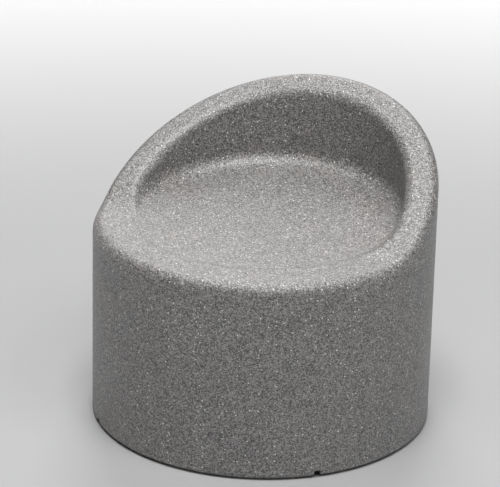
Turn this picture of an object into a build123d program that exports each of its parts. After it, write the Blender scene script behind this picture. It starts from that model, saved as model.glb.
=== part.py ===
from build123d import *
import math
import os

os.makedirs("parts", exist_ok=True)

# A round tub stool moulded in one piece from bead foam, standing on four thin anti-slip strips.
# Millimetres, +Z up. The origin is the centre of the foot on the floor. The sitter faces -Y.

# overall
base_radius = 200.0  # outer wall at the foot
wall_draft = 0.11  # degrees that the outer wall leans inwards, for demoulding
lip_height = 236.0  # floor to the level front part of the seat
scoop_start = 110.0  # from the centre forwards to where the seat starts to sweep up to the back
scoop_radius = 1800.0  # of that sweep
back_height = 368.0  # floor to the back rim at the outer wall, before its edge is rounded
crease_forward = 42.0  # from the centre forwards to where the back rim starts to rise
crease_radius = 90.0  # soft bend between the seat and the rising rim

# tub recess in the back
recess_radius = 161.0  # inner wall
recess_dish = 1.5  # the recess floor follows the seat's sweep, this much below it
cove_radius = 17.0  # sweep between the recess floor and the inner wall

# rounded edges
rim_outer_radius = 12.0
rim_inner_radius = 12.0
foot_edge_radius = 3.0

# hollow underside
foot_ring_width = 35.0  # foam wall round the hollow, at the floor
seat_thickness = 42.0  # foam above the hollow, at the front edge
rib_thickness = 28.0  # the two crossed ribs, at their foot
rib_lift = 12.0  # the ribs end this far above the foot ring
pocket_draft = 1.5  # degrees that the hollow narrows upwards
pocket_corner_radius = 20.0
pocket_top_radius = 8.0

# anti-slip strips, glued into shallow grooves under the foot ring
strip_width = 20.0
strip_thickness = 3.5
strip_groove_depth = 1.0
strip_inset = 3.5  # from the outer wall to the strip
strip_edge_radius = 0.6
strip_side_clearance = 0.3  # each side, in the groove
groove_gap = 1.0  # from the side of a drain notch to the end of the groove

# drain notches through the foot ring, one for each pocket of the hollow
notch_count = 4
notch_width = 8.0
notch_height = 6.0
first_notch_angle = 45.0

# worked out from the sizes above
foot_level = strip_thickness - strip_groove_depth  # the foam's underside above the floor
crease_height = lip_height + scoop_radius - math.sqrt(scoop_radius**2 - (scoop_start - crease_forward) ** 2)
sweep_rise = scoop_radius - math.sqrt(scoop_radius**2 - (scoop_start + base_radius) ** 2)  # up to the back
rim_slope = (back_height - crease_height) / (base_radius + crease_forward)
hollow_radius = base_radius - foot_ring_width
hollow_top = lip_height - seat_thickness
strip_outer_radius = base_radius - strip_inset
strip_inner_radius = strip_outer_radius - strip_width
notch_step = 360.0 / notch_count
clear_height = back_height + base_radius  # well above the finished stool
clear_reach = 2.0 * base_radius  # well outside it


def ring_sector(level, inner, outer, start, end):
    """A flat ring sector between two angles, at one level."""
    with BuildSketch(Plane.XY.offset(level)) as sector:
        with BuildLine():
            CenterArc((0, 0), inner, start, arc_size=end - start)
            CenterArc((0, 0), outer, start, arc_size=end - start)
            for angle in (start, end):
                spoke = Vector(1, 0).rotate(Axis.Z, angle)
                Line(spoke * inner, spoke * outer)
        make_face()
    return sector.sketch


def strip_angles(index, gap):
    """Start and end angle of a strip between two notches, each end a gap short of its notch's side."""
    half_notch = math.degrees((notch_width / 2 + gap) / strip_inner_radius)
    start = first_notch_angle + index * notch_step + half_notch
    end = first_notch_angle + (index + 1) * notch_step - half_notch
    return start, end


# the space that the tub recess takes out of the foam: straight wall, floor sweeping up to the back
with BuildPart() as recess:
    with BuildSketch(Plane.XY.offset(hollow_top)):
        Circle(recess_radius)
    extrude(amount=clear_height)
    recess_front = lip_height - recess_dish
    recess_back = recess_front + sweep_rise
    with BuildSketch(Plane.YZ):
        with BuildLine():
            Line((-clear_reach, recess_front), (-scoop_start, recess_front))
            TangentArc((-scoop_start, recess_front), (base_radius, recess_back), tangent=(1, 0))
            Polyline(
                (base_radius, recess_back),
                (base_radius, 0),
                (-clear_reach, 0),
                (-clear_reach, recess_front),
            )
        make_face()
    extrude(amount=clear_reach, both=True, mode=Mode.SUBTRACT)
    curved_edges = recess.edges().filter_by(GeomType.LINE, reverse=True)
    floor_edges = curved_edges.filter_by_position(Axis.Z, lip_height - cove_radius, back_height)
    fillet(floor_edges, radius=cove_radius)


# foam body: outer form
with BuildPart() as foam_body:
    # near-cylindrical block up to the highest point of the back
    with BuildSketch(Plane.XY.offset(foot_level)):
        Circle(base_radius)
    extrude(amount=back_height - foot_level, taper=wall_draft)

    # the foam above the seat and the rising rim is taken off
    rim_end = (clear_reach, crease_height + rim_slope * (clear_reach + crease_forward))
    crease = (-crease_forward, crease_height)
    with BuildSketch(Plane.YZ) as above_seat:
        with BuildLine():
            Line((-clear_reach, lip_height), (-scoop_start, lip_height))
            TangentArc((-scoop_start, lip_height), crease, tangent=(1, 0))
            Polyline(
                crease,
                rim_end,
                (clear_reach, rim_end[1] + clear_height),
                (-clear_reach, rim_end[1] + clear_height),
                (-clear_reach, lip_height),
            )
        make_face()
        fillet(above_seat.vertices().sort_by_distance(crease)[0], radius=crease_radius)
    extrude(amount=clear_reach, both=True, mode=Mode.SUBTRACT)
    rim_edges = foam_body.edges().filter_by(lambda edge: edge.center().Z > hollow_top)
    fillet(rim_edges.filter_by(GeomType.LINE, reverse=True), radius=rim_outer_radius)

    # tub recess, with its upper edge rounded all the way round
    add(recess.part, mode=Mode.SUBTRACT)
    fillet(foam_body.edges().filter_by(GeomType.ELLIPSE).sort_by(Axis.Z)[-1], radius=rim_inner_radius)

    # rounded outer edge at the foot
    foot_edge = foam_body.edges().filter_by(GeomType.CIRCLE).sort_by(Axis.Z)[0]
    fillet(foot_edge, radius=foot_edge_radius)

    # hollow underside: one pocket between each two arms of the crossed ribs
    with BuildSketch(Plane.XY.offset(foot_level)) as pocket_plan:
        Circle(hollow_radius)
        Rectangle(2 * hollow_radius, rib_thickness, mode=Mode.SUBTRACT)
        Rectangle(rib_thickness, 2 * hollow_radius, mode=Mode.SUBTRACT)
        fillet(pocket_plan.vertices(), radius=pocket_corner_radius)
    extrude(amount=hollow_top - foot_level, taper=pocket_draft, mode=Mode.SUBTRACT)
    pocket_ceilings = foam_body.faces().filter_by(Plane.XY).group_by(Axis.Z)[1]
    fillet(pocket_ceilings.edges(), radius=pocket_top_radius)

    # the ribs stop above the foot ring, so that only the ring stands on the strips
    with BuildSketch(Plane.XY.offset(foot_level)):
        Circle(hollow_radius)
    extrude(amount=rib_lift, mode=Mode.SUBTRACT)

    # drain notches through the foot ring
    notch_start = hollow_radius - foot_ring_width / 2
    notch_length = base_radius - notch_start + foot_ring_width / 2
    with BuildSketch(Plane.XY.offset(foot_level)):
        with PolarLocations(notch_start + notch_length / 2, notch_count, start_angle=first_notch_angle):
            Rectangle(notch_length, notch_width)
    extrude(amount=notch_height, mode=Mode.SUBTRACT)

    # shallow grooves that the strips are glued into
    groove_inner_radius = strip_inner_radius - strip_side_clearance
    groove_outer_radius = strip_outer_radius + strip_side_clearance
    for i in range(notch_count):
        start, end = strip_angles(i, groove_gap)
        groove = ring_sector(foot_level, groove_inner_radius, groove_outer_radius, start, end)
        extrude(groove, amount=strip_groove_depth, mode=Mode.SUBTRACT)
foam_body.part.label = "foam_body"
export_step(foam_body.part, "parts/foam_body.step")


# anti-slip strips, named by the side that they are on, left and right being the sitter's
strip_gap = groove_gap + strip_side_clearance
for i, side in enumerate(("back", "right", "front", "left")):
    with BuildPart() as foot_strip:
        start, end = strip_angles(i, strip_gap)
        extrude(ring_sector(0, strip_inner_radius, strip_outer_radius, start, end), strip_thickness)
        tread_edges = foot_strip.edges().group_by(Axis.Z)[0]
        fillet(tread_edges, radius=strip_edge_radius)
    name = f"foot_strip_{side}"
    foot_strip.part.label = name
    export_step(foot_strip.part, f"parts/{name}.step")
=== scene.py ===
import bpy
import math
from mathutils import Matrix, Vector


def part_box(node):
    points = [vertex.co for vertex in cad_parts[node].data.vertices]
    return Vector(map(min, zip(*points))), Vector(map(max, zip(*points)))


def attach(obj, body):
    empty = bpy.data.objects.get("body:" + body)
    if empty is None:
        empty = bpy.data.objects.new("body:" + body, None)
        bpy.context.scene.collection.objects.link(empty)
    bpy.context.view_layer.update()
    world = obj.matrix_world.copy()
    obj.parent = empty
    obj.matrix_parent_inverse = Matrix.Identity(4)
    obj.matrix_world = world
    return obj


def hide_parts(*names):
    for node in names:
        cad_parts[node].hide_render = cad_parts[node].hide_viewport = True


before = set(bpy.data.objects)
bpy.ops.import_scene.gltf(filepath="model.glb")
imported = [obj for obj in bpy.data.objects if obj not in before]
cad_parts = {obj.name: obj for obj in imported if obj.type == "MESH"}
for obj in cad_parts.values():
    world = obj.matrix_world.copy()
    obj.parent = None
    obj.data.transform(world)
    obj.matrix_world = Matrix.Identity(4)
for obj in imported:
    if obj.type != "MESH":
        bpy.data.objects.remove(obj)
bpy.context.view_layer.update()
print("frame loaded:", ", ".join(sorted(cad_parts)))


# one socket of a node tree; arithmetic on it adds the Math node that does it
class Wire:
    def __init__(self, tree, socket):
        self.tree = tree
        self.socket = socket

    def math(self, operation, first, second):
        return self.tree.add("ShaderNodeMath", {"operation": operation}, {0: first, 1: second})

    def __add__(self, other):
        return self.math("ADD", self, other)

    def __radd__(self, other):
        return self.math("ADD", other, self)

    def __sub__(self, other):
        return self.math("SUBTRACT", self, other)

    def __rsub__(self, other):
        return self.math("SUBTRACT", other, self)

    def __mul__(self, other):
        return self.math("MULTIPLY", self, other)

    def __rmul__(self, other):
        return self.math("MULTIPLY", other, self)


# a node tree being filled; add() takes a node type, its settings and the values or wires of its inputs
class Tree:
    columns = 12
    columnWidth = 180
    rowHeight = 200

    def __init__(self, nodeTree):
        self.nodeTree = nodeTree
        nodeTree.nodes.clear()

    def add(self, kind, settings=None, inputs=None, out=0):
        row, column = divmod(len(self.nodeTree.nodes), self.columns)
        node = self.nodeTree.nodes.new(kind)
        node.location = (self.columnWidth * column, -self.rowHeight * row)
        for name, value in (settings or {}).items():
            setattr(node, name, value)
        for name, value in (inputs or {}).items():
            if isinstance(value, Wire):
                self.nodeTree.links.new(value.socket, node.inputs[name])
            else:
                node.inputs[name].default_value = value
        return Wire(self, node.outputs[out]) if len(node.outputs) else node

    # mask from a value: 0 on one side, 1 on the other, smooth between
    def ramp(self, value, zeroAt, oneAt):
        return self.add("ShaderNodeMapRange", {"interpolation_type": "SMOOTHSTEP"},
                        {"Value": value, "From Min": zeroAt, "From Max": oneAt})

    def mixColour(self, mask, first, second, blend="MIX"):
        return self.add("ShaderNodeMix", {"data_type": "RGBA", "blend_type": blend},
                        {0: mask, 6: first, 7: second}, out=2)

    def noise(self, place, scale, detail, roughness=0.5):
        return self.add("ShaderNodeTexNoise", None,
                        {"Vector": place, "Scale": scale, "Detail": detail, "Roughness": roughness})

    # irregular cells of about the given size; how far a point is from the middle or the edge of its cell
    def cells(self, place, size, feature="F1", out="Distance"):
        return self.add("ShaderNodeTexVoronoi", {"feature": feature},
                        {"Vector": place, "Scale": 1 / size}, out=out)

    # a random number for each cell, 0 to 1; the three channels give three different ones
    def cellNumber(self, place, size, channel):
        colour = self.cells(place, size, out="Color")
        return self.add("ShaderNodeSeparateColor", None, {0: colour}, out=channel)


def newMaterial(name):
    material = bpy.data.materials.new(name)
    material.use_nodes = True
    return material, Tree(material.node_tree)


# foam: a fine sandy skin over the beads, light flecks that are partly painted glints, a few dark pits
# painted as shade
foamLook = {
    "darkGrain": (0.040, 0.039, 0.038, 1),
    "lightGrain": (0.400, 0.392, 0.385, 1),
    "grainSize": 0.0012,
    "grainLevel": 0.37,  # between the dark and the light grain
    "grainContrast": 1.0,
    "fineContrast": 1.4,
    "patchContrast": 0.10,
    "patchScale": 9.0,
    "warmTint": (1.02, 0.995, 0.975, 1),
    "coolTint": (0.995, 0.992, 0.99, 1),
    "tintScale": 14.0,
    # painted glint: part of the flecks' near-white stands in for glints off water drops
    "fleckAndPaintedGlint": (0.92, 0.91, 0.90, 1),
    "fleckSpacing": 0.0044,
    "fleckEdge": (0.21, 0.13),  # outside and inside of a fleck, in spacings
    "fleckShare": (0.60, 0.80),  # cells below have no fleck, cells above a full one
    # painted shade: the pits' near-black stands in for the shade inside the small hollows
    "pitWithPaintedShade": (0.045, 0.042, 0.040, 1),
    "pitSpacing": 0.0105,
    "pitShift": (0.31, 0.17, 0.23),  # so that pits and flecks don't share cells
    "pitEdge": (0.120, 0.070),
    "pitShare": (0.60, 0.75),
    "pitRaggedness": 0.06,
    "beadSize": 0.0031,
    "beadEdgeWidth": 0.16,
    "relief": {"grain": 0.5, "fine": 1.0, "bead": 0.25, "fleckAndPaintedGlint": 0.3, "pitWithPaintedShade": 2.2},
    "reliefDepth": 0.0006,
    "reliefStrength": 0.85,
    "roughness": 0.32,
    "roughnessSpread": 0.20,
    "fleckGloss": 0.12,
    "specularLevel": 0.95,
    "coat": 0.25,
    "coatRoughness": 0.42,
}


def makeFoam(look):
    material, tree = newMaterial("beadFoam")
    place = tree.add("ShaderNodeTexCoord", out="Object")

    # sandy grain: every grain has its own grey, over fine noise and faint broad patches
    grainGrey = tree.cellNumber(place, look["grainSize"], 0) - 0.5
    fine = tree.noise(place, 1.1 / look["grainSize"], 1.0)
    patches = tree.noise(place, look["patchScale"], 3.0)
    grain = look["grainLevel"] + grainGrey * look["grainContrast"]
    grain = grain + (fine - 0.5) * look["fineContrast"] + (patches - 0.5) * look["patchContrast"]
    colour = tree.mixColour(grain, look["darkGrain"], look["lightGrain"])
    coolMask = tree.ramp(tree.noise(place, look["tintScale"], 1.0), 0.35, 0.65)
    tint = tree.mixColour(coolMask, look["warmTint"], look["coolTint"])
    colour = tree.mixColour(1.0, colour, tint, blend="MULTIPLY")

    # light flecks in some cells of a wider net: partly real light specks in the foam, partly painted glints
    # of water drops
    fleckSpot = tree.ramp(tree.cells(place, look["fleckSpacing"]), *look["fleckEdge"])
    fleckAndPaintedGlint = fleckSpot * tree.ramp(tree.cellNumber(place, look["fleckSpacing"], 1), *look["fleckShare"])
    colour = tree.mixColour(fleckAndPaintedGlint, colour, look["fleckAndPaintedGlint"])

    # dark pits where beads didn't quite meet: their near-black colour is painted shade in these small
    # hollows
    shifted = tree.add("ShaderNodeVectorMath", {"operation": "ADD"}, {0: place, 1: look["pitShift"]})
    pitDistance = tree.cells(shifted, look["pitSpacing"]) + (fine - 0.5) * look["pitRaggedness"]
    pitSpot = tree.ramp(pitDistance, *look["pitEdge"])
    pitWithPaintedShade = pitSpot * tree.ramp(tree.cellNumber(shifted, look["pitSpacing"], 2), *look["pitShare"])
    colour = tree.mixColour(pitWithPaintedShade, colour, look["pitWithPaintedShade"])

    # relief: grain and shallow bead boundaries, pits sunk in
    beadEdge = tree.cells(place, look["beadSize"], feature="DISTANCE_TO_EDGE")
    bead = tree.ramp(beadEdge, 0.0, look["beadEdgeWidth"])
    relief = look["relief"]
    height = grainGrey * relief["grain"] + fine * relief["fine"] + bead * relief["bead"]
    height = height + fleckAndPaintedGlint * relief["fleckAndPaintedGlint"] - pitWithPaintedShade * relief["pitWithPaintedShade"]
    bump = tree.add("ShaderNodeBump", None, {
        "Strength": look["reliefStrength"],
        "Distance": look["reliefDepth"],
        "Height": height,
    })
    shader = tree.add("ShaderNodeBsdfPrincipled", None, {
        "Base Color": colour,
        "Roughness": look["roughness"] + fine * look["roughnessSpread"] - fleckAndPaintedGlint * look["fleckGloss"],
        "Normal": bump,
        "Specular IOR Level": look["specularLevel"],
        "Coat Weight": look["coat"],
        "Coat Roughness": look["coatRoughness"],
    })
    tree.add("ShaderNodeOutputMaterial", None, {"Surface": shader})
    return material


# strip: dull dark rubber with a fine cast texture, dusty in places; both greys are painted lighter than that
# rubber, painted light that lifts the shade of its recess under the foam
rubberLook = {
    # painted light: both greys are lifted above the rubber's own to brighten the shade in its recess
    "dark": (0.22, 0.217, 0.212, 1),
    "light": (0.34, 0.335, 0.328, 1),
    "dustScale": 60.0,
    "dustEdge": (0.35, 0.75),
    "textureScale": 900.0,
    "reliefDepth": 0.0003,
    "reliefStrength": 0.35,
    "roughness": 0.72,
    "dustRoughness": 0.18,
}


def makeStripRubber(look):
    material, tree = newMaterial("stripRubber")
    place = tree.add("ShaderNodeTexCoord", out="Object")
    texture = tree.noise(place, look["textureScale"], 3.0, roughness=0.6)
    dust = tree.noise(place, look["dustScale"], 4.0)
    bump = tree.add("ShaderNodeBump", None, {
        "Strength": look["reliefStrength"],
        "Distance": look["reliefDepth"],
        "Height": texture,
    })
    shader = tree.add("ShaderNodeBsdfPrincipled", None, {
        "Base Color": tree.mixColour(tree.ramp(dust, *look["dustEdge"]), look["dark"], look["light"]),
        "Roughness": look["roughness"] + dust * look["dustRoughness"],
        "Normal": bump,
    })
    tree.add("ShaderNodeOutputMaterial", None, {"Surface": shader})
    return material


def giveMaterial(piece, material):
    piece.data.materials.clear()
    piece.data.materials.append(material)


foam = makeFoam(foamLook)
rubber = makeStripRubber(rubberLook)
giveMaterial(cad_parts["foam_body"], foam)
print("materials made")


# anti-slip strip: a rounded band along an arc, with a row of fine cross ribs as its tread
stripSizes = {
    "width": 0.020,
    "arcPoints": 97,
    "edgeRadius": 0.0006,
    "edgePoints": 3,
    "treadDepth": 0.0006,
    "treadPitch": 0.0040,
    "treadWidth": 0.0020,
    "treadInset": 0.0012,
}


def makeStripNodes(sizes):
    nodeTree = bpy.data.node_groups.new("treadedStrip", "GeometryNodeTree")
    keys = {}
    for name in ("radius", "start", "sweep", "height"):
        socket = nodeTree.interface.new_socket(name, in_out="INPUT", socket_type="NodeSocketFloat")
        keys[name] = socket.identifier
    nodeTree.interface.new_socket("Geometry", in_out="OUTPUT", socket_type="NodeSocketGeometry")
    tree = Tree(nodeTree)
    source = nodeTree.nodes.new("NodeGroupInput")
    radius, start, sweep, height = (Wire(tree, source.outputs[name]) for name in keys)

    # the band, from the tread's depth above the floor up to its top
    bandHeight = height - sizes["treadDepth"]
    arc = tree.add("GeometryNodeCurveArc", {"mode": "RADIUS"}, {
        "Resolution": sizes["arcPoints"],
        "Radius": radius,
        "Start Angle": start,
        "Sweep Angle": sweep,
    })
    upright = tree.add("GeometryNodeSetCurveNormal", {"mode": "Z_UP"}, {"Curve": arc})
    section = tree.add("GeometryNodeCurvePrimitiveQuadrilateral", None, {
        "Width": sizes["width"],
        "Height": bandHeight,
    })
    section = tree.add("GeometryNodeFilletCurve", {"mode": "POLY"}, {
        "Curve": section,
        "Radius": sizes["edgeRadius"],
        "Count": sizes["edgePoints"],
    })
    band = tree.add("GeometryNodeCurveToMesh", None, {
        "Curve": upright,
        "Profile Curve": section,
        "Fill Caps": True,
    })
    lift = tree.add("ShaderNodeCombineXYZ", None, {"Z": bandHeight * 0.5 + sizes["treadDepth"]})
    band = tree.add("GeometryNodeTransform", None, {"Geometry": band, "Translation": lift})

    # cross ribs, one every pitch along the arc and turned to face its centre, each reaching up into the band
    row = tree.add("GeometryNodeCurveToPoints", {"mode": "LENGTH"}, {
        "Curve": arc,
        "Length": sizes["treadPitch"],
    })
    ribLength = sizes["width"] - 2 * sizes["treadInset"]
    ribSize = (ribLength, sizes["treadWidth"], 2 * sizes["treadDepth"])
    rib = tree.add("GeometryNodeMeshCube", None, {"Size": ribSize})
    spot = tree.add("GeometryNodeInputPosition")
    x = tree.add("ShaderNodeSeparateXYZ", None, {0: spot}, out=0)
    y = tree.add("ShaderNodeSeparateXYZ", None, {0: spot}, out=1)
    angle = tree.add("ShaderNodeMath", {"operation": "ARCTAN2"}, {0: y, 1: x})
    turn = tree.add("ShaderNodeCombineXYZ", None, {"Z": angle})
    ribs = tree.add("GeometryNodeInstanceOnPoints", None, {"Points": row, "Instance": rib, "Rotation": turn})
    ribLift = (0, 0, sizes["treadDepth"])
    ribs = tree.add("GeometryNodeTransform", None, {"Geometry": ribs, "Translation": ribLift})

    both = tree.add("GeometryNodeJoinGeometry", None, {"Geometry": band})
    nodeTree.links.new(ribs.socket, both.socket.node.inputs[0])
    plain = tree.add("GeometryNodeRealizeInstances", None, {"Geometry": both})
    done = tree.add("GeometryNodeSetMaterial", None, {"Geometry": plain, "Material": rubber})
    tree.add("NodeGroupOutput", None, {"Geometry": done})
    return nodeTree, keys


# a piece with the plain mesh that a node tree gives for some input values
def bakeNodes(name, nodeTree, keys, values):
    piece = bpy.data.objects.new(name, bpy.data.meshes.new(name))
    bpy.context.scene.collection.objects.link(piece)
    modifier = piece.modifiers.new(name, "NODES")
    modifier.node_group = nodeTree
    for key, value in values.items():
        modifier[keys[key]] = value
    shape = piece.evaluated_get(bpy.context.evaluated_depsgraph_get())
    mesh = bpy.data.meshes.new_from_object(shape)
    piece.modifiers.clear()
    piece.data = mesh
    mesh.name = name
    return piece


# the four strips lie in a circle, each over the same angle; the back one is centred on +Y
def makeStrips(sizes):
    nodeTree, keys = makeStripNodes(sizes)
    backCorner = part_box("foot_strip_back")[1]
    start = math.acos(backCorner.x / backCorner.y)
    for index, side in enumerate(("back", "right", "front", "left")):
        strip = bakeNodes("treadStrip_" + side, nodeTree, keys, {
            "radius": backCorner.y - sizes["width"] / 2,
            "start": start + index * math.pi / 2,
            "sweep": math.pi - 2 * start,
            "height": backCorner.z,
        })
        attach(strip, "root")
        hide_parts("foot_strip_" + side)


makeStrips(stripSizes)
print("strips made")


# studio: pale floor, soft lights, and the camera
studio = {
    "floor": (0.34, 0.34, 0.342, 1),
    # painted light: the far floor colour is paler to stand in for brighter light away from the stool
    "floorFarPaintedLight": (0.85, 0.85, 0.85, 1),
    "floorPaintedLightFade": (0.5, 2.6),  # metres from the stool
    "floorRoughness": 0.6,
    "floorSize": 24.0,
    "skySeen": (0.80, 0.80, 0.80, 1),
    "skyLight": (0.05, 0.05, 0.05, 1),
    "lightDistance": 6.0,
    # name: degrees round from the camera's side, degrees up, width in metres, brightness
    "lights": {
        "overhead": (0.0, 78.0, 2.0, 22.5),
        "overheadSide": (-90.0, 78.0, 2.0, 4.0),
        "highFront": (0.0, 52.0, 2.4, 4.2),
        "highLeft": (50.0, 56.0, 2.4, 5.2),
        "highRight": (-50.0, 56.0, 2.4, 0.5),
        "highBack": (180.0, 56.0, 2.4, 5.0),
        "lowBack": (180.0, 33.0, 3.0, 2.6),
    },
    "cameraSpot": (1.1682, -2.4434, 1.2722),
    "cameraTurn": 25.9,
    "cameraPitch": 21.47,
    "cameraRoll": 1.3235,
    "cameraLens": 179.69,
    "cameraSensor": 36.0,
    "cameraReach": 100.0,
}


def makeFloor(values):
    half = values["floorSize"] / 2
    corners = [(-half, -half, 0), (half, -half, 0), (half, half, 0), (-half, half, 0)]
    mesh = bpy.data.meshes.new("floor")
    mesh.from_pydata(corners, [], [(0, 1, 2, 3)])
    floor = bpy.data.objects.new("floor", mesh)
    bpy.context.scene.collection.objects.link(floor)

    # painted light: the floor is painted paler away from the stool, standing in for the brighter room beyond
    # it and for the lamps' fall-off, not a real change of the floor's colour
    material, tree = newMaterial("floorPaintedPalerAway")
    place = tree.add("ShaderNodeTexCoord", out="Object")
    away = tree.add("ShaderNodeVectorMath", {"operation": "LENGTH"}, {0: place}, out="Value")
    colour = tree.mixColour(tree.ramp(away, *values["floorPaintedLightFade"]), values["floor"], values["floorFarPaintedLight"])
    shader = tree.add("ShaderNodeBsdfPrincipled", None, {
        "Base Color": colour,
        "Roughness": values["floorRoughness"],
    })
    tree.add("ShaderNodeOutputMaterial", None, {"Surface": shader})
    mesh.materials.append(material)


# the sky looks bright behind the floor but lights the stool only faintly
def makeSky(values):
    world = bpy.data.worlds.new("studioSky")
    bpy.context.scene.world = world
    world.use_nodes = True
    tree = Tree(world.node_tree)
    seen = tree.add("ShaderNodeLightPath", out="Is Camera Ray")
    colour = tree.mixColour(seen, values["skyLight"], values["skySeen"])
    background = tree.add("ShaderNodeBackground", None, {"Color": colour, "Strength": 1.0})
    tree.add("ShaderNodeOutputWorld", None, {"Surface": background})


def makeLights(values):
    cameraSpot = Vector(values["cameraSpot"])
    cameraSide = math.atan2(cameraSpot.y, cameraSpot.x)
    for name, (around, up, width, brightness) in values["lights"].items():
        light = bpy.data.lights.new(name, "AREA")
        light.size = width
        light.energy = math.pi * width * width * brightness
        lamp = bpy.data.objects.new(name, light)
        bpy.context.scene.collection.objects.link(lamp)
        turn = cameraSide + math.radians(around)
        rise = math.radians(up)
        away = Vector((math.cos(turn) * math.cos(rise), math.sin(turn) * math.cos(rise), math.sin(rise)))
        lamp.location = away * values["lightDistance"]
        lamp.rotation_mode = "QUATERNION"
        lamp.rotation_quaternion = away.to_track_quat("Z", "Y")


def makeCamera(values):
    camera = bpy.data.cameras.new("camera")
    camera.sensor_width = values["cameraSensor"]
    camera.lens = values["cameraLens"]
    camera.clip_end = values["cameraReach"]
    holder = bpy.data.objects.new("camera", camera)
    bpy.context.scene.collection.objects.link(holder)
    turn = Matrix.Rotation(math.radians(values["cameraTurn"]), 4, "Z")
    pitch = Matrix.Rotation(math.radians(90 - values["cameraPitch"]), 4, "X")
    roll = Matrix.Rotation(math.radians(values["cameraRoll"]), 4, "Z")
    holder.matrix_world = Matrix.Translation(values["cameraSpot"]) @ turn @ pitch @ roll
    bpy.context.scene.camera = holder


makeFloor(studio)
makeSky(studio)
makeLights(studio)
makeCamera(studio)
bpy.context.scene.view_settings.view_transform = "Standard"
print("studio made")
